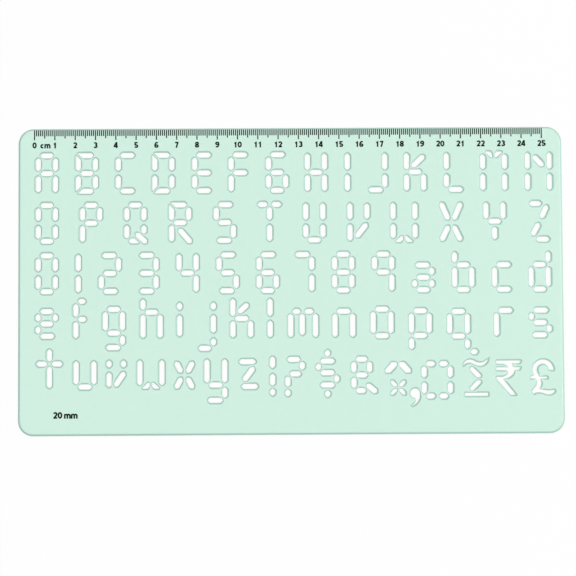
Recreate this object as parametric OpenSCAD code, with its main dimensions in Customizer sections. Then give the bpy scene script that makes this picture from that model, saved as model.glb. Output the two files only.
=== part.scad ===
// Lettering stencil: a thin see-through sheet with a centimetre ruler printed along its upper
// edge. Every letter, figure and sign is cut through the sheet as a set of short pen slots with
// pointed ends, and the narrow bridges left between the slots hold the middles of the letters.
// The sheet lies flat: X runs along the ruler, Y towards it, and Z is the thickness.

/* [Sheet] */
// Width of the sheet, along the ruler
sheet_w = 268; // [264:1:290]
// Depth of the sheet, from its ruler edge to its lower edge
sheet_d = 151; // [149:1:170]
// Thickness of the sheet
sheet_t = 1.2; // [0.8:0.1:3]
// Radius of the four corners
corner_r = 7.5; // [3:0.5:9]

/* [Slots] */
// Width of a pen slot
slot_w = 2.45; // [2.2:0.05:2.8]
// Flat across the point of a slot
tip_flat = 0.5; // [0.4:0.1:1]
// Distance from a shared joint to the points of the crossbars that meet there
bar_gap = 0.8; // [0.6:0.05:1]
// Distance from a shared joint to the points of the uprights that meet there
upright_gap = 1; // [0.8:0.05:1.2]
// How far an upright runs past a joint that it has to itself
free_run = 0.65; // [0.2:0.05:1]
// Distance from the end point of any other slot to its point, where no slot meets it
open_gap = 0.25; // [0:0.05:0.5]
// Width of the bridge between the two halves of a sign
bridge_w = 1.2; // [1:0.1:1.5]
// How far the wall of a sign stands inside the lines that the sign is drawn on
sign_inset = 0.17; // [0:0.01:0.25]

/* [Letters] */
// Distance between the left and right uprights of a letter
letter_w = 8.4; // [8:0.1:8.8]
// Height from one crossbar of a capital to the next
half_h = 8.8; // [8.2:0.1:9.2]
// Distance between the uprights of the small letters k, n, o, p, q, s, u and y
small_w = 8.7; // [8.2:0.1:9]
// Height from the baseline to the upper crossbar of a small letter
small_h = 12.1; // [11:0.1:12.6]
// Height of the tall uprights in b, d, f, h, k, l and t
stem_h = 18; // [17:0.1:18.6]
// Drop from the baseline to the hook of g, j and y
tail_drop = 7.1; // [6.6:0.1:7.6]
// Diameter of the comma's head
comma_d = 5; // [4:0.1:5.2]

/* [Rows] */
// Distance from the left edge of the sheet to the first slot of each row
left_margin = 8.6; // [6:0.1:12]
// Distance from the ruler edge to the top bars of the first row
first_row_y = 13.2; // [12:0.1:14]
// Clear space from the baseline of row 1 to the top bars of row 2
row_gap_1 = 7; // [5:0.1:8]
// Clear space from the baseline of row 2 to the top bars of row 3
row_gap_2 = 7.2; // [5:0.1:8]
// Clear space from the baseline of row 3 to the height of the capitals in row 4
row_gap_3 = 4.9; // [4:0.1:6]
// Clear space from the baseline of row 4 to the height of the capitals in row 5
row_gap_4 = 6.7; // [6:0.1:8]

/* [Ruler] */
// Length of the ruler in centimetres
ruler_cm = 25; // [10:1:25]
// Distance from the left edge of the sheet to the zero mark
zero_x = 8; // [7:0.1:12]
// Distance from the edge of the sheet to the marks
mark_inset = 0.7; // [0.4:0.1:1]
// Length of a millimetre mark
mm_mark = 2.9; // [2:0.1:3.2]
// Length of a half-centimetre mark
half_cm_mark = 4; // [3.6:0.1:4.3]
// Length of a centimetre mark
cm_mark = 4.9; // [4.6:0.1:5.2]
// Width of every mark
mark_w = 0.56; // [0.15:0.01:0.6]
// Height of the ruler's figures
figure_h = 3; // [2:0.1:3.1]
// Distance from the ruler edge to the foot of the figures
figure_y = 9.6; // [9.4:0.1:10]
// Height of the figures in the letter-height note
note_h = 3.3; // [2.5:0.1:4]
// Distance from the lower edge to the foot of the note
note_y = 8.6; // [6:0.1:9]
// Distance from the left edge to the note
note_x = 19.5; // [10:0.5:40]
// Thickness of the printed ink
ink_t = 0.04; // [0.02:0.01:0.1]

/* [Hidden] */
$fn = 48;

sheet_left = -sheet_w / 2;
sheet_right = sheet_w / 2;
ruler_edge = sheet_d / 2;
lower_edge = -sheet_d / 2;
mm_per_cm = 10;

// The lines that a letter hangs on, from its left upright and its baseline
left = 0;
centre = letter_w / 2;
right = letter_w;
small_right = small_w;
base = 0;
waist = half_h;
top = 2 * half_h;
small_mid = small_h / 2;
small_top = small_h;
stem_top = stem_h;
tail = -tail_drop;

// Baselines of the five rows
base_1 = ruler_edge - first_row_y - top;
base_2 = base_1 - row_gap_1 - top;
base_3 = base_2 - row_gap_2 - top;
base_4 = base_3 - row_gap_3 - top;
base_5 = base_4 - row_gap_4 - top;

// ---------- plane geometry ----------

function unit(v) = v / norm(v);
function side(v) = [-v[1], v[0]];
function cross_2d(a, b) = a[0] * b[1] - a[1] * b[0];
function total(list, i = 0) = i < len(list) ? list[i] + total(list, i + 1) : 0;
function moved(points, by) = [for (p = points) p + by];
function arc(c, rx, ry, from, to, steps) =
    [for (i = [0:steps]) let (a = from + (to - from) * i / steps) c + [rx * cos(a), ry * sin(a)]];

// Outline of a pen stroke of width w along a line of points
function stroke_normal(points, i) =
    let (
        last = len(points) - 1,
        into = unit(points[max(i, 1)] - points[max(i, 1) - 1]),
        out = unit(points[min(i, last - 1) + 1] - points[min(i, last - 1)]),
        between = unit(side(into) + side(out))
    )
    between / (between * side(into));
function stroke(points, w) = concat(
    [for (i = [0:len(points) - 1]) points[i] - stroke_normal(points, i) * w / 2],
    [for (i = [len(points) - 1:-1:0]) points[i] + stroke_normal(points, i) * w / 2]
);

// ---------- slots ----------

// A slot is [start, end, run at the start, run at the end, lean of its end]. A run is the
// distance from the end point to the tip of the slot. Where it is left out, the joint decides it.
function bar(y, from = left, to = right) = [[from, y], [to, y]];
function post(x, from, to) = [[x, from], [x, to]];
function upper(x) = post(x, waist, top);
function lower(x) = post(x, base, waist);
function small_upper(x) = post(x, small_mid, small_top);
function small_lower(x) = post(x, base, small_mid);
function small_full(x) = post(x, base, small_top);
function stem(x) = post(x, small_top, stem_top);
function rod(from, to) = [from, to, open_gap, open_gap];
function stub(x, from, to) = rod([x, from], [x, to]);
function dash(y, from, to) = rod([from, y], [to, y]);

function same_point(a, b) = norm(a - b) < bar_gap / 8;
function is_upright(s) = abs(s[1][0] - s[0][0]) < bar_gap / 8;
function slots_at(slots, p) = len([for (s = slots) for (e = [0, 1]) if (same_point(s[e], p)) s]);

// A slot stops short of a joint that it shares, and an upright runs on past one of its own
function end_run(slots, s, e) =
    !is_undef(s[2 + e]) ? s[2 + e]
    : slots_at(slots, s[e]) > 1 ? (is_upright(s) ? upright_gap : bar_gap)
    : is_upright(s) ? -free_run
    : open_gap;

// At a square corner both slots are cut along the corner's diagonal, leaning to the outside
function is_square(corners, p) = len([for (c = corners) if (same_point(c, p)) c]) > 0;
function heading(s, e) = unit(s[1 - e] - s[e]);
function partner(slots, s, e) =
    [for (o = slots) for (f = [0, 1]) if (o != s && same_point(o[f], s[e])) heading(o, f)][0];
function end_lean(slots, corners, s, e) =
    is_square(corners, s[e]) ? -sign(cross_2d(heading(s, e), partner(slots, s, e)))
    : e == 1 ? s[4]
    : undef;

// End of a slot, seen from its end point with u into the slot and v to the left
half_w = slot_w / 2;
half_tip = tip_flat / 2;
function end_shape(run, lean) = is_undef(lean)
    ? [
        [run + half_w, half_w], [run + half_tip, half_tip],
        [run + half_tip, -half_tip], [run + half_w, -half_w]
    ]
    : [[run - lean * half_w, half_w], [run + lean * half_w, -half_w]];
function placed(shape, p, along) = [for (q = shape) p + q[0] * along + q[1] * side(along)];
function slot_end(slots, corners, s, e) = placed(
    end_shape(end_run(slots, s, e), end_lean(slots, corners, s, e)), s[e], heading(s, e)
);
function slot_outline(slots, corners, s) =
    concat(slot_end(slots, corners, s, 0), slot_end(slots, corners, s, 1));

// ---------- signs with outlines of their own ----------

half_bridge = bridge_w / 2 - sign_inset;
function flipped(points, x, y) = [for (p = points) [x * p[0], y * p[1]]];

// A closed outline whose walls are moved inwards, whichever way round it runs
function next_of(points, i, step) = points[(i + step + len(points)) % len(points)];
function turn(points) =
    sign(total([for (i = [0:len(points) - 1]) cross_2d(points[i], next_of(points, i, 1))]));
function inset(points, by) = [
    for (i = [0:len(points) - 1])
        let (
            into = unit(points[i] - next_of(points, i, -1)),
            out = unit(next_of(points, i, 1) - points[i]),
            between = unit(side(into) + side(out))
        )
        points[i] + turn(points) * by / (between * side(into)) * between
];

// The two short strokes between the uprights of M and W, from the middle of the letter
VEE = [
    [-half_bridge, -0.1], [-half_bridge, 1.7], [-0.8, 2], [-1.4, 2], [-4.3, -0.6],
    [-4.2, -1], [-3.9, -1.3], [-1.6, -1.3]
];
function vees(at, up) = [for (x = [1, -1]) moved(flipped(VEE, x, up), at)];

// Roof-shaped sign, from the top of its ridge
ROOF = [
    [-half_bridge, 0], [-3.2, 0], [-6.4, -3.7], [-6.2, -5.4], [-3.8, -5.4], [-half_bridge, -1.9]
];
function roofs(at) = [for (x = [1, -1]) moved(flipped(ROOF, x, 1), at)];

// Cross of four petals, from its middle
PETAL = [
    [half_bridge, half_bridge], [half_bridge, 1.7], [2.3, 3.5], [3.6, 3.7], [3.6, 2.2],
    [2.2, half_bridge]
];
function petals(at) = [for (x = [1, -1]) for (y = [1, -1]) moved(flipped(PETAL, x, y), at)];

// Arrowhead pointing right, from its point
ARROW = [
    [-0.1, 0.6], [-0.1, 2], [-3.9, 5.8], [-4.9, 6], [-5.7, 5.3], [-5.7, 4.3], [-2.2, 0.6]
];
function arrows(at) = [for (y = [1, -1]) moved(flipped(ARROW, 1, y), at)];

// Comma, from the middle of its round head
comma_r = comma_d / 2;
COMMA = concat(
    arc([0, 0], comma_r, comma_r, 15, 270, 17),
    arc([-3.4, -2.7], 3.6, 3.6, 0, -65, 5),
    arc([-3.2, -0.9], 5.7, 5.7, -72, 4, 6)
);

// Wave, from its lower left point
WAVE = [
    [0.1, 0.1], [0.5, 1.7], [1.1, 2.5], [2.2, 3.3], [3.6, 3.6], [5.2, 3.3], [7, 2.3],
    [8.6, 2], [10.2, 2.3], [11.4, 3.1], [12.6, 3.8], [12.5, 3], [11.7, 1.6], [10.3, 0.5],
    [9, 0.2], [7.2, 0.4], [5.2, 1.3], [3.4, 1.9], [1.9, 1.6], [0.9, 0.8]
];
function block(x, y, w, h) = [[x, y], [x + w, y], [x + w, y + h], [x, y + h]];

// Two bars, a bowl and a slanting leg, from the foot of the leg
LEGGED = [
    [0.2, 17.3], [12.6, 17.3], [11.8, 15.6], [8.4, 15.6], [8.8, 14.3], [9.3, 14], [12.6, 14],
    [11.6, 12.4], [9.7, 12.4], [9.2, 11.2], [8.4, 10.1], [7.2, 9.1], [5.8, 8.4], [4, 8],
    [10.1, 0.2], [7.3, 0.2], [0.2, 8.2], [0.2, 9.3], [3.6, 9.3], [4.9, 9.9], [5.8, 10.7],
    [6, 11.5], [5.3, 12.2], [0.2, 12.4], [0.2, 14], [5.9, 14], [5.4, 14.7], [3.9, 15.4],
    [0.2, 15.5]
];

// Hooked stem with a crossbar and a curved foot, from its baseline
HOOKED = concat(
    arc([6.5, 7.2], 5.3, 5.1, -5, 210, 17),
    [
        [0.2, 4], [0.2, 2.8], [2.6, 2.7], [3.2, 1.8], [3.4, 0.7], [2.9, -0.7], [1.7, -2.1],
        [0.8, -3.2], [1.2, -4.2], [1.9, -4.9], [2.7, -4.2], [4.2, -4], [6, -4.2], [8, -4.9],
        [10, -5.1], [11.4, -4.5], [12.4, -3.5], [11.9, -2.5], [10, -2.9], [8, -2.8],
        [6, -2.4], [5, -2.1], [5.7, -0.5], [5.8, 1], [5.4, 2.6], [8.4, 2.7], [8.8, 3.3],
        [8.4, 3.9], [4.9, 3.9]
    ],
    arc([6.4, 7.1], 2.8, 2.9, 215, 0, 15)
);

// ---------- the alphabet ----------

// Distance between the wide uprights of M, N, W and w
wide = 10.8;
mid_wide = wide / 2;
ring_w = 12.8;
ring_top = 10.4;
ring_mid = 2.5;
ring_base = -5.4;
v_w = 7.1;
query_w = 7.1;
dollar_w = 8.9;
and_w = 7.7;
m_foot_1 = 5.7;
m_foot_2 = 12.2;
dot_low = 12.7;
dot_high = 17.2;
o_top = small_top + 0.9;
g_top = small_top - 0.5;

// [name, slots, square corners, other outlines, height above the baseline]
ALPHABET = [
    ["A", [bar(top), bar(waist), upper(left), upper(right), lower(left), lower(right)]],
    ["B", [bar(top), bar(waist), bar(base), upper(left), upper(right), lower(left), lower(right)],
        [[left, top], [left, base]]],
    ["C", [bar(top), bar(base), upper(left), lower(left)]],
    ["D", [bar(top), bar(base), upper(left), upper(right), lower(left), lower(right)],
        [[left, top], [left, base]]],
    ["E", [bar(top), bar(waist), bar(base), upper(left), lower(left)]],
    ["F", [bar(top), bar(waist), upper(left), lower(left)]],
    ["G", [bar(top), bar(waist), bar(base), upper(left), lower(left), lower(right)]],
    ["H", [bar(waist), upper(left), upper(right), lower(left), lower(right)]],
    ["I", [upper(left), lower(left)]],
    ["J", [bar(base), upper(right), lower(right)]],
    ["K", [bar(waist), upper(left), lower(left), lower(right),
        rod([left + 2.4, waist + 2.1], [right + 0.6, top - 0.4])]],
    ["L", [bar(base), upper(left), lower(left)]],
    ["M", [lower(left), lower(wide), [[left, waist], [left, top + 0.2], upright_gap, open_gap],
        [[wide, waist], [wide, top + 0.2], upright_gap, open_gap]], [], vees([mid_wide, top], -1)],
    ["N", [upper(left), lower(left), upper(wide), lower(wide),
        rod([mid_wide - 2.9, top - 0.8], [mid_wide + 2.8, top - 6.5])]],
    ["O", [bar(top), bar(base), upper(left), upper(right), lower(left), lower(right)]],
    ["P", [bar(top), bar(waist), upper(left), upper(right), lower(left)]],
    ["Q", [bar(top), upper(left), upper(right), lower(left),
        [[right, base + 2.9], [right, waist], open_gap, upright_gap],
        [[left, base], [left + 5.2, base], bar_gap, open_gap, 1],
        rod([right - 4.2, base + 4], [right + 1.7, base - 1.4])]],
    ["R", [bar(top), bar(waist), upper(left), upper(right), lower(left),
        rod([left + 3.3, waist - 2.7], [right + 1.5, base - 1.5])], [[left, top]]],
    ["S", [bar(top), bar(waist), bar(base), upper(left), lower(right)]],
    ["T", [bar(top, centre - 6.2, centre), bar(top, centre, centre + 6.2), upper(centre),
        lower(centre)]],
    ["U", [bar(base), upper(left), upper(right), lower(left), lower(right)]],
    ["V", [upper(left), lower(left), stub(right, waist + 1.1, top + free_run),
        rod([left + 2.7, base + 0.8], [right + 0.2, waist - 0.5])]],
    ["W", [upper(left), upper(wide), [[left, base + 0.2], [left, waist], open_gap, upright_gap],
        [[wide, base + 0.2], [wide, waist], open_gap, upright_gap]], [],
        vees([mid_wide, base - 0.1], 1)],
    ["X", [rod([centre - 5.1, top + 0.9], [centre - 1.1, waist + 0.4]),
        rod([centre + 5.1, top + 0.9], [centre + 1.1, waist + 0.4]),
        rod([centre - 5, base - 1.2], [centre - 1, waist - 1.7]),
        rod([centre + 5, base - 1.2], [centre + 1, waist - 1.7])]],
    ["Y", [bar(waist), upper(left), upper(right), stub(centre, base - 0.6, waist - 2.3)]],
    ["Z", [dash(top - 0.2, left - 1.4, left + 5.3),
        rod([left + 4.5, waist + 1], [left + 7.9, top - 0.7]),
        rod([left + 0.1, base + 1.2], [left + 3.8, waist - 0.7]),
        dash(base - 0.2, left + 1.8, left + 9.1)]],
    ["0", [bar(top), bar(base), upper(left), upper(right), lower(left), lower(right)]],
    ["1", [upper(left), lower(left)]],
    ["2", [bar(top), bar(waist), bar(base), upper(right), lower(left)]],
    ["3", [bar(top), bar(waist), bar(base), upper(right), lower(right)]],
    ["4", [bar(waist), upper(left), upper(right), lower(right)]],
    ["5", [bar(top), bar(waist), bar(base), upper(left), lower(right)]],
    ["6", [bar(top), bar(waist), bar(base), upper(left), lower(left), lower(right)]],
    ["7", [bar(top), upper(right), lower(right)]],
    ["8", [bar(top), bar(waist), bar(base), upper(left), upper(right), lower(left),
        lower(right)]],
    ["9", [bar(top), bar(waist), upper(left), upper(right), lower(right)]],
    ["a", [bar(small_top), bar(small_mid), bar(base), small_upper(right), small_lower(left),
        small_lower(right)]],
    ["b", [bar(small_top), bar(base), small_full(left), small_full(right), stem(left)]],
    ["c", [bar(small_top), bar(base), small_full(left)]],
    ["d", [bar(small_top), bar(base), small_full(left), small_full(right), stem(right)]],
    ["e", [bar(small_top), bar(small_mid), bar(base), small_upper(left), small_upper(right),
        small_lower(left)], [], [], 0.6],
    ["f", [bar(top, left, left + 5.3), bar(waist, left, left + 5.6), upper(left), lower(left)]],
    ["g", [bar(g_top), bar(base), post(left, base, g_top), post(right, base, g_top),
        post(right, tail, base), bar(tail)], [], [], 2],
    ["h", [bar(small_top), small_full(left), small_full(right), stem(left)]],
    ["i", [stub(left, base - 0.2, small_top - 1.1), stub(left, dot_low, dot_high)]],
    ["j", [stub(right, base + 1.5, small_top - 1.1), stub(right, dot_low, dot_high),
        stub(right, tail + 2.2, base - 0.4), dash(tail + 1.4, left + 0.7, right - 0.7)]],
    ["k", [bar(waist, left, small_right), post(left, waist, stem_top), lower(left),
        lower(small_right), rod([left + 2.3, waist + 2.5], [left + 7.9, top - 1.3])]],
    ["l", [post(left, waist, stem_top), lower(left)]],
    ["m", [bar(small_top, left, m_foot_1 + 0.2), bar(small_top, m_foot_1 + 0.2, m_foot_2),
        small_full(left), small_full(m_foot_2),
        [[m_foot_1, base + 1], [m_foot_1, small_top], -free_run, upright_gap]]],
    ["n", [bar(small_top, left, small_right), small_full(left), small_full(small_right)]],
    ["o", [bar(o_top, left, small_right), bar(base, left, small_right), post(left, base, o_top),
        post(small_right, base, o_top)]],
    ["p", [bar(small_top, left, small_right), bar(base, left, small_right), small_full(left),
        small_full(small_right), [[left, tail], [left, base], open_gap, upright_gap]]],
    ["q", [bar(small_top, left, small_right), bar(base, left, small_right), small_full(left),
        small_full(small_right), stub(small_right, tail + 0.5, base - 1.1),
        dash(tail - 0.6, small_right + 1, small_right + 5.5)], [], [], -0.4],
    ["r", [bar(small_top), small_full(left)]],
    ["s", [bar(small_top, left, small_right), bar(small_mid, left, small_right),
        bar(base, left, small_right), small_upper(left), small_lower(small_right)]],
    ["t", [bar(small_top - 0.8, centre - 6.8, centre), bar(small_top - 0.8, centre, centre + 6.8),
        post(centre, small_top - 0.8, stem_top), post(centre, base, small_top - 0.8)]],
    ["u", [bar(base, left, small_right), small_full(left), small_full(small_right)]],
    ["v", [stub(left, small_top - 3.1, small_top + 1.2), stub(v_w, small_top - 3.1, small_top + 1.2),
        stub(left, base - 0.6, small_top - 4.7),
        rod([left + 2.6, base - 0.2], [v_w + 0.8, small_top - 4.6])]],
    ["w", [[[left, base + 0.2], [left, small_top + 0.3], open_gap, -free_run],
        [[wide, base + 0.2], [wide, small_top + 0.3], open_gap, -free_run]], [],
        vees([mid_wide, base + 0.1], 1)],
    ["x", [rod([centre - 4.4, small_mid + 6.4], [centre - 1.2, small_mid + 0.3]),
        rod([centre + 4.4, small_mid + 6.4], [centre + 1.2, small_mid + 0.3]),
        rod([centre - 4.4, small_mid - 7.5], [centre - 1.2, small_mid - 1.4]),
        rod([centre + 4.4, small_mid - 7.5], [centre + 1.2, small_mid - 1.4])]],
    ["y", [bar(base, left, small_right), small_full(left), small_full(small_right),
        post(small_right, tail - 0.4, base), bar(tail - 0.4, left, small_right)], [], [], 0.6],
    ["z", [dash(small_top - 0.2, left - 1.4, left + 7.5),
        rod([left + 0.9, base + 2.1], [left + 6.4, small_top - 2.5]),
        dash(base - 0.2, left - 0.3, left + 8.6)]],
    ["!", [stub(left, 8.3, 14.8), stub(left, -0.3, 6.3), stub(left, -5.2, -0.9)]],
    ["?", [[[left - 0.6, 12.9], [query_w, 12.9], open_gap, bar_gap], stub(query_w, 7.4, 12.2),
        bar(5.8, left, query_w - 0.2), post(left, 0, 5.8), stub(left, -5.6, -1.3)]],
    ["$", [[[left, 12], [dollar_w, 12], bar_gap, bar_gap], bar(6.3, left, dollar_w),
        [[left, 0.3], [dollar_w, 0.3], bar_gap, bar_gap], post(left, 6.3, 12),
        post(dollar_w, 0.3, 6.3), stub(dollar_w / 2, 13.7, 17.9),
        stub(dollar_w / 2, -6.1, -1.9)]],
    ["&", [bar(12.8, left, and_w), bar(5.1, left, and_w), post(left, 5.1, 12.8),
        post(and_w, 5.1, 12.8), post(left, -2.5, 5.1),
        [[left, -2.5], [and_w - 1.3, -2.5], bar_gap, open_gap],
        rod([left + 5.9, 0.8], [left + 11.5, -3.8])]],
    ["roof and cross", [], [], concat(roofs([6.8, 11.4]), petals([6.8, -1.2]))],
    ["comma", [], [], [moved(COMMA, [comma_r, -4])]],
    ["ring", [bar(ring_top, 0, ring_w / 2), bar(ring_top, ring_w / 2, ring_w),
        bar(ring_base, 0, ring_w / 2), bar(ring_base, ring_w / 2, ring_w),
        post(0, ring_mid, ring_top), post(ring_w, ring_mid, ring_top),
        post(0, ring_base, ring_mid), post(ring_w, ring_base, ring_mid)]],
    ["wave, arrow and bar", [], [], concat([moved(WAVE, [0, 8.9])], arrows([9.2, 2.9]),
        [block(0.9, -5.6, 11.6, 1.8)])],
    ["legged", [], [], [moved(LEGGED, [0, -5.4])]],
    ["hooked", [], [], [HOOKED]]
];

// ---------- layout ----------

function entry(name) = ALPHABET[search([name], ALPHABET, 1)[0]];
function or_none(list) = is_undef(list) ? [] : list;
function lift(name) = is_undef(entry(name)[4]) ? 0 : entry(name)[4];
function outlines(name) =
    let (slots = entry(name)[1], corners = or_none(entry(name)[2]))
    concat(
        [for (s = slots) slot_outline(slots, corners, s)],
        [for (o = or_none(entry(name)[3])) inset(o, sign_inset)]
    );
function raised(name, y) = y + lift(name);
function reach_left(name) = min([for (o = outlines(name)) for (p = o) p[0]]);
function reach_right(name) = max([for (o = outlines(name)) for (p = o) p[0]]);

// Rows are set with equal clear spaces, so each fills its line from one margin to the other.
// Some letters then stand a little off that even spacing.
function row_places(names, from, to, shifts) =
    let (
        lefts = [for (n = names) reach_left(n)],
        widths = [for (n = names) reach_right(n) - reach_left(n)],
        space = (to - from - total(widths)) / (len(names) - 1)
    )
    [
        for (i = 0, x = from; i < len(names); x = x + widths[i] + space, i = i + 1)
            x - lefts[i] + total([for (s = shifts) if (len(search(names[i], s[1])) > 0) s[0]])
    ];

// [names, baseline, distance from the right edge of the sheet to the last slot, shifts]
ROWS = [
    ["ABCDEFGHIJKLMN", base_1, 4.9, [[0.5, "GJ"]]],
    ["OPQRSTUVWXYZ", base_2, 6.6, [[-0.5, "WX"], [-1, "Y"]]],
    ["0123456789abcd", base_3, 6.1, [[0.5, "3456"]]],
    ["efghijklmnopqrs", base_4, 5.9, [[0.5, "ghj"], [-0.5, "lmr"], [-1, "nopq"]]],
    ["tuvwxyz!?$&", base_5, 92.1, [[0.5, "tu"], [-0.5, "xz?$"], [-1, "y"]]]
];

// [name, distance from the right edge of the sheet to the left line of the sign]
SIGNS = [
    ["roof and cross", 88.5], ["comma", 75.9], ["ring", 68.9], ["wave, arrow and bar", 50],
    ["legged", 33.8], ["hooked", 17]
];

module cutouts(name, x, y) {
    for (o = outlines(name)) polygon(moved(o, [x, raised(name, y)]));
}

module row_cutouts(names, y, right_margin, shifts) {
    places = row_places(names, sheet_left + left_margin, sheet_right - right_margin, shifts);
    for (i = [0:len(names) - 1]) cutouts(names[i], places[i], y);
}

module sheet_outline() {
    square([sheet_w - 2 * corner_r, sheet_d], center = true);
    square([sheet_w, sheet_d - 2 * corner_r], center = true);
    for (x = [-1, 1]) {
        for (y = [-1, 1]) {
            translate([x * (sheet_w / 2 - corner_r), y * (sheet_d / 2 - corner_r)])
                circle(corner_r);
        }
    }
}

// ---------- printed marks ----------

function tenth_x(i) = sheet_left + zero_x + i * mm_per_cm / 10;
function is_cm(i) = i % 10 == 0;
function is_half_cm(i) = i % 10 == 5;
mark_top = ruler_edge - mark_inset;

// Ink lies on the upper face of the sheet
module ink() {
    color("black") translate([0, 0, sheet_t]) linear_extrude(ink_t) children();
}

module mark(i, length) {
    translate([tenth_x(i) - mark_w / 2, mark_top - length]) square([mark_w, length]);
}

// ---------- printed figures ----------

// A figure is drawn on a height of 1 and a middle line of 0: [open strokes, closed ovals]
pen = 0.25;
low = pen / 2;
high = 1 - pen / 2;
FIGURES = [
    ["0", [], [[0, 0.5, 0.23, high - 0.5]]],
    ["1", [[[-0.18, 0.66], [0.05, 0.8], [0.05, 0]]], []],
    ["2", [concat(arc([0, 0.68], 0.22, high - 0.68, 165, -30, 8), [[-0.2, 0.05]]),
        [[-0.28, low], [0.29, low]]], []],
    ["3", [arc([-0.01, 0.71], 0.21, high - 0.71, 150, -95, 9),
        arc([-0.01, 0.3], 0.24, 0.3 - low, 95, -155, 9)], []],
    ["4", [[[0.14, 0], [0.14, 1]], [[0.1, 0.95], [-0.27, 0.27]], [[-0.36, 0.27], [0.33, 0.27]]], []],
    ["5", [[[0.25, high], [-0.15, high], [-0.19, 0.46]],
        arc([0, 0.31], 0.24, 0.31 - low, 135, -155, 10)], []],
    ["6", [arc([0.06, 0.42], 0.29, high - 0.42, 180, 55, 6)], [[0, 0.3, 0.23, 0.3 - low]]],
    ["7", [[[-0.27, high], [0.28, high]], [[0.2, 0.95], [-0.07, 0]]], []],
    ["8", [], [[0, 0.71, 0.2, high - 0.71], [0, 0.29, 0.23, 0.29 - low]]],
    ["9", [arc([-0.06, 0.58], 0.29, 0.58 - low, 0, -125, 6)], [[0, 0.7, 0.23, high - 0.7]]],
    ["c", [arc([0, 0.36], 0.22, 0.36 - low, 50, 310, 10)], []],
    ["m", [[[-0.38, 0], [-0.38, 0.7]],
        concat(arc([-0.19, 0.45], 0.19, 0.17, 170, 0, 6), [[0, 0]]),
        concat(arc([0.19, 0.45], 0.19, 0.17, 170, 0, 6), [[0.38, 0]])], []]
];
figure_pitch = 0.7;
m_pitch = 1.02;

module oval(o, grow) {
    polygon(arc([o[0], o[1]], o[2] + grow, o[3] + grow, 0, 345, 23));
}

module figure(name) {
    drawing = FIGURES[search([name], FIGURES, 1)[0]];
    for (s = drawing[1]) polygon(stroke(s, pen));
    for (o = drawing[2]) {
        difference() {
            oval(o, pen / 2);
            oval(o, -pen / 2);
        }
    }
}

// A number, with its figures spread evenly about the middle
module number(value) {
    digits = str(value);
    for (i = [0:len(digits) - 1]) {
        translate([(i - (len(digits) - 1) / 2) * figure_pitch, 0]) figure(digits[i]);
    }
}

// ---------- pieces ----------

module stencil_sheet() {
    color("mediumaquamarine") linear_extrude(sheet_t) difference() {
        sheet_outline();
        for (row = ROWS) row_cutouts(row[0], row[1], row[2], row[3]);
        for (s = SIGNS) cutouts(s[0], sheet_right - s[1], base_5);
    }
}

module millimetre_marks() {
    ink() for (i = [0:ruler_cm * 10]) if (!is_cm(i) && !is_half_cm(i)) mark(i, mm_mark);
}

module half_centimetre_marks() {
    ink() for (i = [0:ruler_cm * 10]) if (is_half_cm(i)) mark(i, half_cm_mark);
}

module centimetre_marks() {
    ink() for (i = [0:ruler_cm]) mark(i * 10, cm_mark);
}

module centimetre_figures() {
    ink() for (i = [0:ruler_cm]) {
        translate([tenth_x(i * 10), ruler_edge - figure_y]) scale(figure_h) number(i);
    }
}

module unit_sign() {
    ink() translate([tenth_x(5.5), ruler_edge - figure_y]) scale(figure_h) {
        translate([-0.55, 0]) figure("c");
        translate([0.28, 0]) figure("m");
    }
}

module height_note() {
    ink() translate([sheet_left + note_x, lower_edge + note_y]) scale(note_h) {
        number(20);
        translate([1.45, 0]) figure("m");
        translate([1.45 + m_pitch, 0]) figure("m");
    }
}

stencil_sheet();
millimetre_marks();
half_centimetre_marks();
centimetre_marks();
centimetre_figures();
unit_sign();
height_note();
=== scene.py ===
# %% [markdown]
# # A see-through lettering stencil
# The object is one thin sheet of clear green plastic. Pen slots are cut through it, and a
# centimetre ruler is printed on its upper face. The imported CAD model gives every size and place,
# so this lesson only has to make the sheet look moulded and the ink look printed.

# %% Load the measured model
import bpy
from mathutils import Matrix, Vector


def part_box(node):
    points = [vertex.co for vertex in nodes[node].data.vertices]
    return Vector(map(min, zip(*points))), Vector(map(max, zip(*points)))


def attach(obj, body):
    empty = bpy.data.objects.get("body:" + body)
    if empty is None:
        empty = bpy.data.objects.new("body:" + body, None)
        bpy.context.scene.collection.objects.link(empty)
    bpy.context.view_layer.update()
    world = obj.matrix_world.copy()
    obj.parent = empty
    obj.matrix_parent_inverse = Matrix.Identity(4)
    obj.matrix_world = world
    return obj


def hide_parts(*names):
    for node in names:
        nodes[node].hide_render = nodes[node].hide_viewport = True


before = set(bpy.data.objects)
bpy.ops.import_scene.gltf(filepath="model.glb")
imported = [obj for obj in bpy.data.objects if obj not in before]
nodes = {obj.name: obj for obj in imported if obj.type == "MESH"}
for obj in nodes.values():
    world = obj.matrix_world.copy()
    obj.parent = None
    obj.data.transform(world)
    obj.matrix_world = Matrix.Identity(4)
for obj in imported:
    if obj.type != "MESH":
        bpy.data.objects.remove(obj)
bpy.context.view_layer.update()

import math

import bmesh
import bpy
from mathutils import Euler, Vector
from mathutils.bvhtree import BVHTree

MM = 0.001
scene = bpy.context.scene


print("CAD nodes:", ", ".join(sorted(nodes)))

# %% [markdown]
# ## The camera
# The photo looks almost straight down. The sheet's lower edge is a little longer in the picture
# than its ruler edge, so that edge is nearer and the camera leans by two degrees. The place,
# the lean and the lens were matched to the four corners of the sheet.

# %% Set the camera
CAMERA_PLACE_MM = (-4.3, -21.9, 551.0)
CAMERA_TURN_DEG = (1.913, -0.279, -0.318)
LENS_MM = 70.0
SENSOR_MM = 36.0
NEAREST_SEEN_M = 0.01


def new_object(name, data):
    """An object at the origin, put into the scene."""
    made = bpy.data.objects.new(name, data)
    scene.collection.objects.link(made)
    return made


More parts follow.
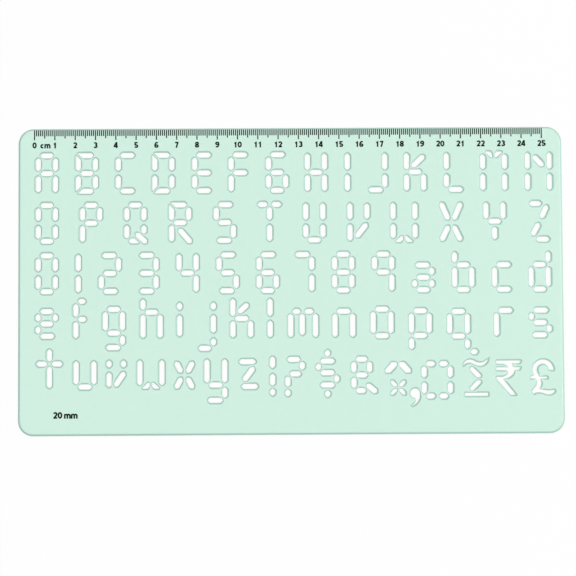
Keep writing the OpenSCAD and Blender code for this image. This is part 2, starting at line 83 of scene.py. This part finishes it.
camera = new_object("camera", bpy.data.cameras.new("camera"))
camera.data.lens = LENS_MM
camera.data.sensor_width = SENSOR_MM
camera.data.clip_start = NEAREST_SEEN_M
camera.location = Vector(CAMERA_PLACE_MM) * MM
camera.rotation_euler = Euler([math.radians(turn) for turn in CAMERA_TURN_DEG])
scene.camera = camera
print("camera height in mm:", CAMERA_PLACE_MM[2])

# %% [markdown]
# ## Small helpers for materials
# Colours are easiest to choose as hex values, but shaders work in linear light, so one function
# changes the one into the other. Patterns are measured in millimetres on the real sheet, and a
# noise wants spots to the metre. Node trees are built by hand in the editor. In a script one
# function that adds a node, sets it and links it keeps each material short.

# %% Colour, size and node helpers
def linear(hex_colour):
    """A hex colour as linear red, green, blue and full alpha, by the sRGB curve."""
    parts = [int(hex_colour[i:i + 2], 16) / 255 for i in (1, 3, 5)]
    return [c / 12.92 if c <= 0.04045 else ((c + 0.055) / 1.055) ** 2.4 for c in parts] + [1.0]


def per_metre(size_mm):
    """The scale of a noise whose spots are that far apart."""
    return 1 / (size_mm * MM)


def pick(sockets, name):
    """The socket of that name that is in use, or of that number where sockets share a name."""
    if name.isdigit():
        return sockets[int(name)]
    return next(s for s in sockets if s.name == name and not s.is_unavailable)


def add(tree, kind, settings=None, **sockets):
    """A new node. A socket takes a value or another node's output.

    In a socket's name _ stands for a space, and _1 is the socket numbered 1.
    """
    node = tree.nodes.new(kind)
    for name, value in (settings or {}).items():
        setattr(node, name, value)
    for name, value in sockets.items():
        socket = pick(node.inputs, name.replace("_", " ").strip())
        if isinstance(value, bpy.types.NodeSocket):
            tree.links.new(value, socket)
        else:
            socket.default_value = value
    return node


def new_material(name):
    """An empty material and its node tree."""
    material = bpy.data.materials.new(name)
    material.use_nodes = True
    material.node_tree.nodes.clear()
    return material, material.node_tree


print("half grey is this much light:", round(linear("#808080")[0], 3))

# %% [markdown]
# ## Clear tinted plastic
# The sheet is a clear plastic with a green dye in it, moulded or rolled smooth. The dye
# is all through the plastic, so a short way through it looks pale mint and a long way, such as
# along the sheet behind a cut edge, looks a deeper green. A coloured surface would give every
# place the same green. Here the surface is clear and Volume Absorption inside does the colour.
# The walls and rims of the slots have a frosting that scatters the light the clear faces let
# through. Their darker teal is painted shade besides: it stands in for the shadow and refraction
# that darken a real cut edge, and so draws the soft line round each slot. A material of its own
# for them would leave the dye of the first one open where light comes out through the second, so
# one material does both, and an attribute of the mesh says how much frosting and painted shade a
# place has.

# %% Colours of the plastic
CLEAR = "#FFFFFF"
CLOUDY = "#F4FFFA"
# The rims' teal is partly their real frosting and partly painted shade of the cut edges
FROST_AND_PAINTED_SHADE_DARK = "#88BEAC"
FROST_AND_PAINTED_SHADE_LIGHT = "#A4D6C6"
CHATTER_MM = 0.5
CLOUD_MM = 4.0

tinted_plastic, tree = new_material("clear_green_plastic")
place = add(tree, "ShaderNodeTexCoord").outputs["Object"]
# How much frosting and painted shade each point of the mesh carries
rim_frost_and_painted_shade = add(tree, "ShaderNodeAttribute", {"attribute_name": "frost_and_painted_shade"}).outputs["Fac"]
# Tool marks along the cut edges vary the painted shade of the rims
chatter = add(tree, "ShaderNodeTexNoise", Vector=place, Scale=per_metre(CHATTER_MM), Detail=2.0)
edge_frost_and_painted_shade = add(
    tree, "ShaderNodeMix", {"data_type": "RGBA"}, Factor=chatter.outputs["Fac"],
    A=linear(FROST_AND_PAINTED_SHADE_DARK), B=linear(FROST_AND_PAINTED_SHADE_LIGHT),
)
# Handling leaves the faces very slightly cloudy, in patches
cloud = add(tree, "ShaderNodeTexNoise", Vector=place, Scale=per_metre(CLOUD_MM), Detail=4.0)
face_colour = add(
    tree, "ShaderNodeMix", {"data_type": "RGBA"}, Factor=cloud.outputs["Fac"],
    A=linear(CLEAR), B=linear(CLOUDY),
)
# Where the mesh says so, the painted shade of the rims takes the place of the clear colour
colour = add(
    tree, "ShaderNodeMix", {"data_type": "RGBA"}, Factor=rim_frost_and_painted_shade,
    A=pick(face_colour.outputs, "Result"), B=pick(edge_frost_and_painted_shade.outputs, "Result"),
)
print("faces", CLEAR, "to", CLOUDY, "- frosted edges", FROST_AND_PAINTED_SHADE_DARK, "to", FROST_AND_PAINTED_SHADE_LIGHT)

# %% Surface and dye of the plastic
PLASTIC_IOR = 1.54
DYE = "#68EEC2"
DYE_DENSITY = 290.0
FACE_CLEARNESS, EDGE_CLEARNESS = 1.0, 0.1
FACE_ROUGHNESS, EDGE_ROUGHNESS = 0.3, 0.5
WAVE_MM = 25.0
WAVE_HEIGHT_MM = 0.3
WAVE_STRENGTH = 0.15

clearness = add(
    tree, "ShaderNodeMapRange", Value=rim_frost_and_painted_shade, To_Min=FACE_CLEARNESS, To_Max=EDGE_CLEARNESS
)
roughness = add(
    tree, "ShaderNodeMapRange", Value=rim_frost_and_painted_shade, To_Min=FACE_ROUGHNESS, To_Max=EDGE_ROUGHNESS
)
# Rolled sheet is never quite flat: it has slow waves
waves = add(tree, "ShaderNodeTexNoise", Vector=place, Scale=per_metre(WAVE_MM), Detail=2.0)
flow = add(
    tree, "ShaderNodeBump", Strength=WAVE_STRENGTH, Distance=WAVE_HEIGHT_MM * MM,
    Height=waves.outputs["Fac"],
)
surface = add(
    tree, "ShaderNodeBsdfPrincipled", Base_Color=pick(colour.outputs, "Result"),
    Roughness=roughness.outputs[0], IOR=PLASTIC_IOR, Transmission_Weight=clearness.outputs[0],
    Normal=flow.outputs["Normal"],
)
dye = add(tree, "ShaderNodeVolumeAbsorption", Color=linear(DYE), Density=DYE_DENSITY)
add(tree, "ShaderNodeOutputMaterial", Surface=surface.outputs[0], Volume=dye.outputs[0])
print("made", tinted_plastic.name)

# %% [markdown]
# ## Printed ink
# The ruler is printed in one black-green ink. Screen-printed ink is matt and a little uneven, so
# its colour changes slightly over a millimetre or so. An even black would look like a hole.

# %% Printed ink
INK_DARK = "#020A07"
INK_LIGHT = "#0A1C15"
INK_ROUGHNESS = 0.6
INK_SPECULAR = 0.2
# Nine grains on each centimetre
GRAIN_MM = 10 / 9

printed_ink, tree = new_material("screen_printed_ink")
place = add(tree, "ShaderNodeTexCoord").outputs["Object"]
grain = add(tree, "ShaderNodeTexNoise", Vector=place, Scale=per_metre(GRAIN_MM), Detail=3.0)
colour = add(
    tree, "ShaderNodeMix", {"data_type": "RGBA"}, Factor=grain.outputs["Fac"],
    A=linear(INK_DARK), B=linear(INK_LIGHT),
)
surface = add(
    tree, "ShaderNodeBsdfPrincipled", Base_Color=pick(colour.outputs, "Result"),
    Roughness=INK_ROUGHNESS, Specular_IOR_Level=INK_SPECULAR,
)
add(tree, "ShaderNodeOutputMaterial", Surface=surface.outputs[0])
print("made", printed_ink.name)

# %% [markdown]
# ## The outlines of the slots
# The CAD sheet has knife-sharp corners. The real one is moulded: the ends of its slots are a
# little round in plan, and its upper face rolls over softly into each slot. Those soft rims carry
# the painted shade that draws the line round every slot. A Bevel would give them all one width,
# and the narrow bridges between slots have no room for it. So only the outlines of the sheet and
# its slots are kept here, and the sheet is built up again from them. Millimetres make the steps
# easy to read.

# %% Keep the outlines of the sheet and its slots
MERGE_MM = 0.002
LEVEL_MM = 0.001
FLAT_NORMAL = 0.5
SHARP_DEG = 15
SHORTEST_SIDE_MM = 0.45

low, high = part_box("stencil_sheet")
thickness = (high[2] - low[2]) / MM

plate = bmesh.new()
plate.from_mesh(nodes["stencil_sheet"].data)
bmesh.ops.scale(plate, vec=Vector((1, 1, 1)) / MM, verts=plate.verts)
bmesh.ops.remove_doubles(plate, verts=plate.verts, dist=MERGE_MM)
plate.normal_update()


def lies_at(part, z):
    """True for an edge or face with all its points at that height."""
    return all(abs(v.co.z - z) < LEVEL_MM for v in part.verts)


def is_flat(face):
    """True for a face that looks up or down."""
    return abs(face.normal.z) > FLAT_NORMAL


def is_rim(edge):
    """True where a flat meets a wall."""
    return len(edge.link_faces) == 2 and is_flat(edge.link_faces[0]) != is_flat(edge.link_faces[1])


def sides(vert, rims):
    """The ways from a corner to its two neighbours on the outline."""
    return [e.other_vert(vert).co - vert.co for e in vert.link_edges if e in rims]


lower_rims = {e for e in plate.edges if is_rim(e) and lies_at(e, 0)}


def is_round_corner(vert):
    """True at a sharp corner where the plastic goes round the slot and there is room to cut it."""
    one, other = sides(vert, lower_rims)
    return (
        180 - math.degrees(one.angle(other)) > SHARP_DEG
        and (one + other).dot(vert.normal) > 0
        and min(one.length, other.length) > SHORTEST_SIDE_MM
    )


corners = [v for v in plate.verts if sides(v, lower_rims) and is_round_corner(v)]
bmesh.ops.delete(plate, geom=list(plate.faces), context="FACES_ONLY")
bmesh.ops.delete(plate, geom=[e for e in plate.edges if e not in lower_rims], context="EDGES")
bmesh.ops.delete(plate, geom=[v for v in plate.verts if not v.link_edges], context="VERTS")
print("outline points:", len(plate.verts), "corners to round:", len(corners))

# %% [markdown]
# ## Walls
# A Bevel of single points rounds the corners of the outlines in plan. Long sides are split, so
# that a rim can narrow part of the way along a slot, where a neighbour comes close. Extruding
# the outlines straight up then gives the walls, as a die would cut them, and filling the flats
# between them closes the sheet.

# %% Round the corners, split the long sides and raise the walls
CORNER_CUT_MM = 0.18
CORNER_SEGMENTS = 2
PIECE_MM = 1.3
# The sheet's own sides are longer, and stay whole
LONGEST_SPLIT_MM = 26

bmesh.ops.bevel(
    plate, geom=corners, offset=CORNER_CUT_MM, offset_type="OFFSET", segments=CORNER_SEGMENTS,
    profile=0.5, affect="VERTICES", clamp_overlap=False, material=-1,
)
for cuts in range(1, int(LONGEST_SPLIT_MM / PIECE_MM)):
    long_sides = [e for e in plate.edges if cuts < e.calc_length() / PIECE_MM <= cuts + 1]
    bmesh.ops.subdivide_edges(plate, edges=long_sides, cuts=cuts)
walls = bmesh.ops.extrude_edge_only(plate, edges=list(plate.edges))["geom"]
raised = [part for part in walls if isinstance(part, bmesh.types.BMVert)]
bmesh.ops.translate(plate, verts=raised, vec=(0, 0, thickness))
wall_tree = BVHTree.FromBMesh(plate)
print("wall faces:", len(plate.faces))


def fill_flats(form):
    """Fills the lower and the upper face inside their open outlines."""
    for z in (0, thickness):
        outline = [e for e in form.edges if len(e.link_faces) == 1 and lies_at(e, z)]
        bmesh.ops.triangle_fill(form, edges=outline, normal=(0, 0, 1), use_beauty=True)
    bmesh.ops.recalc_face_normals(form, faces=form.faces)
    form.normal_update()


fill_flats(plate)
print("faces with both flats:", len(plate.faces))

# %% [markdown]
# ## Room for the rims
# Each point of an outline is told which way the plastic lies and how much of it there is before
# the next wall. A tree of the walls finds that quickly. The rim takes a share of it, so that two
# rims never meet on a bridge. The sheet's own left, right and lower edges have wider rims, as
# the photo shows. The ruler edge keeps a narrow one, because the marks need a flat.

# %% Mark the rims and the way inwards
# Frosting and painted shade of the walls, on a scale from 0 to 1
WALL_FROST_AND_PAINTED_SHADE = 0.5

rim_width = plate.verts.layers.float.new("rim_width")
# The mesh attribute of frosting and painted shade that the plastic reads
frost_and_painted_shade = plate.verts.layers.float.new("frost_and_painted_shade")
inwards = plate.verts.layers.float_vector.new("inwards")
# The keys of a dict stay in order, so every run grows the same mesh
rims = dict.fromkeys(e for e in plate.edges if is_rim(e))
for vert in plate.verts:
    one, other = [f.normal for f in vert.link_faces if not is_flat(f)]
    vert[inwards] = -(one + other) / (1 + one.dot(other))
    vert[frost_and_painted_shade] = WALL_FROST_AND_PAINTED_SHADE
print("rim edges:", len(rims))

# %% Find the room beside each point of an outline
RIM_MM = 1.0
EDGE_RIM_MM = 1.35
# How far out a point is on the sheet's own edge, as a share of half the sheet
EDGE_ZONE = 0.975
# The share of the plastic ahead that a rim may take
RIM_SHARE = 0.42
# The cosine within which a wall counts as ahead, and the distance of a point's own walls
AHEAD = 0.3
OWN_WALL_MM = 0.02
# Where the plastic comes to a tip, its sides set the limit
TIP = 0.1
TIP_SHARE = 0.4
# How fast a rim may widen along the outline
RIM_SLOPE = 0.4
SLOPE_PASSES = 6


def is_plain_edge(vert):
    """True on the sheet's own edges, apart from the ruler edge."""
    across, up = vert.co.x / (high[0] / MM), vert.co.y / (high[1] / MM)
    return max(abs(across), -up) > EDGE_ZONE


def room(vert):
    """The widest rim for a point: a share of the plastic that lies ahead of it."""
    middle = Vector((vert.co.x, vert.co.y, thickness / 2))
    ahead = vert[inwards].normalized()
    rim = EDGE_RIM_MM if is_plain_edge(vert) else RIM_MM
    for found, _, _, distance in wall_tree.find_nearest_range(middle, rim / RIM_SHARE):
        if distance > OWN_WALL_MM and (found - middle).dot(ahead) > AHEAD * distance:
            rim = min(rim, RIM_SHARE * distance)
    one, other = sides(vert, rims)
    if (one.normalized() + other.normalized()).dot(ahead) > TIP:
        rim = min(rim, TIP_SHARE * min(one.length, other.length) * math.tan(one.angle(other) / 2))
    return rim


for vert in plate.verts:
    vert[rim_width] = room(vert)
for _ in range(SLOPE_PASSES):
    for edge in rims:
        for one, other in (edge.verts, reversed(edge.verts)):
            widest = other[rim_width] + RIM_SLOPE * edge.calc_length()
            one[rim_width] = min(one[rim_width], widest)
narrowest = min(v[rim_width] for v in plate.verts)
print("rim widths in mm:", round(narrowest, 2), "to", EDGE_RIM_MM)

# %% [markdown]
# ## Soft rims
# The flats come off again, and each rim is grown from the top of its wall, ring by ring, along a
# quarter of an oval. The upper rims are wide, and carry the most frosting and painted shade part
# of the way in, which paints the soft line round each slot. The lower ones only break the edge,
# because that face lies on the paper. New flats close the sheet inside the last rings, and stay
# flat shaded.

# %% Roll the rims over
UPPER_REACH = 1.0
UPPER_DROP = 0.5
# Frosting and painted shade of each upper ring, from the wall inwards
UPPER_FROST_AND_PAINTED_SHADE = (0.6, 1.0, 0.0)
LOWER_REACH = 0.2
LOWER_DROP = 0.2
LOWER_FROST_AND_PAINTED_SHADE = (0.0,)
QUARTER_TURN_DEG = 90


def roll(form, z, reach, drop, frost_and_painted_shade_rings):
    """Grows a quarter-round rim from the walls, one ring of faces for each value of frosting and
    painted shade.
    """
    up = 1 if z > 0 else -1
    edges = [e for e in rims if lies_at(e, z)]
    for vert in {v for e in edges for v in e.verts}:
        vert.co.z -= up * drop * vert[rim_width]
    start = 0.0
    for ring, frost_and_painted_shade_there in enumerate(frost_and_painted_shade_rings, 1):
        end = math.radians(QUARTER_TURN_DEG * ring / len(frost_and_painted_shade_rings))
        grown = bmesh.ops.extrude_edge_only(form, edges=edges)["geom"]
        verts = {part for part in grown if isinstance(part, bmesh.types.BMVert)}
        edges = [
            part for part in grown
            if isinstance(part, bmesh.types.BMEdge) and all(v in verts for v in part.verts)
        ]
        for vert in verts:
            vert.co += vert[inwards] * vert[rim_width] * reach * (math.cos(start) - math.cos(end))
            vert.co.z += up * drop * vert[rim_width] * (math.sin(end) - math.sin(start))
            vert[frost_and_painted_shade] = frost_and_painted_shade_there
        start = end


bmesh.ops.delete(plate, geom=[f for f in plate.faces if is_flat(f)], context="FACES")
roll(plate, thickness, UPPER_REACH, UPPER_DROP, UPPER_FROST_AND_PAINTED_SHADE)
roll(plate, 0, LOWER_REACH, LOWER_DROP, LOWER_FROST_AND_PAINTED_SHADE)
fill_flats(plate)
for face in plate.faces:
    face.smooth = not (lies_at(face, 0) or lies_at(face, thickness))
print("sheet faces:", len(plate.faces), "closed:", all(e.is_manifold for e in plate.edges))

# %% Hand the sheet over as a piece
def finish_form(name, form, material):
    """An object of one material from a bmesh, which is freed."""
    mesh = bpy.data.meshes.new(name)
    form.to_mesh(mesh)
    form.free()
    mesh.materials.append(material)
    return new_object(name, mesh)


bmesh.ops.scale(plate, vec=Vector((1, 1, 1)) * MM, verts=plate.verts)
sheet = finish_form("moulded_sheet", plate, tinted_plastic)
for name in ("rim_width", "inwards"):
    sheet.data.attributes.remove(sheet.data.attributes[name])
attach(sheet, "root")
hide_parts("stencil_sheet")
print("sheet triangles:", sum(len(p.vertices) - 2 for p in sheet.data.polygons))

# %% [markdown]
# ## Ink on the sheet
# The printed marks and figures are right as the CAD has them, so they only take the ink.

# %% Give the ink to the printed marks
INK_NODES = (
    "millimetre_marks", "half_centimetre_marks", "centimetre_marks", "centimetre_figures",
    "unit_sign", "height_note",
)
for name in INK_NODES:
    for material_slot in nodes[name].material_slots:
        material_slot.link = "OBJECT"
        material_slot.material = printed_ink
print("inked:", ", ".join(INK_NODES))

# %% [markdown]
# ## White floor
# The photo was taken on a white table, and its white has no grey in it. Seen straight, in a
# reflection or through the plastic, the floor glows at a strength close to 1. What is left of
# its own shading keeps the sheet's soft shadow.

# %% White floor
FLOOR_SIZE_M = 6.0
FLOOR_GAP_MM = 0.02
FLOOR_COLOUR = "#F4F4F4"
GLOW = 0.96

floor_white, tree = new_material("white_table")
ray = add(tree, "ShaderNodeLightPath").outputs
seen = ray["Is Camera Ray"]
for kind in ("Is Glossy Ray", "Is Transmission Ray"):
    either = add(tree, "ShaderNodeMath", {"operation": "MAXIMUM"}, _0=seen, _1=ray[kind])
    seen = either.outputs[0]
share = add(tree, "ShaderNodeMath", {"operation": "MULTIPLY"}, _0=seen, _1=GLOW)
matt = add(tree, "ShaderNodeBsdfDiffuse", Color=linear(FLOOR_COLOUR))
glow = add(tree, "ShaderNodeEmission", Strength=1.0)
mix = add(
    tree, "ShaderNodeMixShader", Fac=share.outputs[0], _1=matt.outputs[0], _2=glow.outputs[0]
)
add(tree, "ShaderNodeOutputMaterial", Surface=mix.outputs[0])

table = bmesh.new()
bmesh.ops.create_grid(table, x_segments=1, y_segments=1, size=FLOOR_SIZE_M / 2)
bmesh.ops.translate(table, verts=table.verts, vec=(0, 0, -FLOOR_GAP_MM * MM))
floor = finish_form("table", table, floor_white)
print("floor in metres:", FLOOR_SIZE_M, "by", FLOOR_SIZE_M)

# %% [markdown]
# ## Soft light
# Broad soft light came from all round the sheet. The world gives the even part, and two large
# lamps of unequal power give each rim a lighter and a darker side. The strong one stands high
# enough that the face mirrors little of it in a low view.

# %% Soft light
WORLD_WHITE = "#FFFFFF"
WORLD_LIGHT = 0.45
WORLD_SEEN = 1.0
LAMP_SIZE_M = 0.8
LAMPS = (
    ("left_softbox", (-1.0, 0.1, 1.0), 2.0),
    ("right_softbox", (1.1, 0.1, 0.9), 14.0),
)

world = bpy.data.worlds.new("studio")
world.use_nodes = True
scene.world = world
tree = world.node_tree
tree.nodes.clear()
ray = add(tree, "ShaderNodeLightPath").outputs
lit = add(tree, "ShaderNodeBackground", Color=linear(WORLD_WHITE), Strength=WORLD_LIGHT)
white = add(tree, "ShaderNodeBackground", Color=linear(WORLD_WHITE), Strength=WORLD_SEEN)
mix = add(
    tree, "ShaderNodeMixShader", Fac=ray["Is Camera Ray"], _1=lit.outputs[0], _2=white.outputs[0]
)
add(tree, "ShaderNodeOutputWorld", Surface=mix.outputs[0])

for name, stand, power in LAMPS:
    lamp = new_object(name, bpy.data.lights.new(name, "AREA"))
    lamp.data.size = LAMP_SIZE_M
    lamp.data.energy = power
    lamp.location = stand
    # It faces the middle of the sheet
    lamp.rotation_euler = (-Vector(stand)).to_track_quat("-Z", "Y").to_euler()

scene.view_settings.view_transform = "Standard"
print("lamps:", ", ".join(name for name, _, _ in LAMPS))
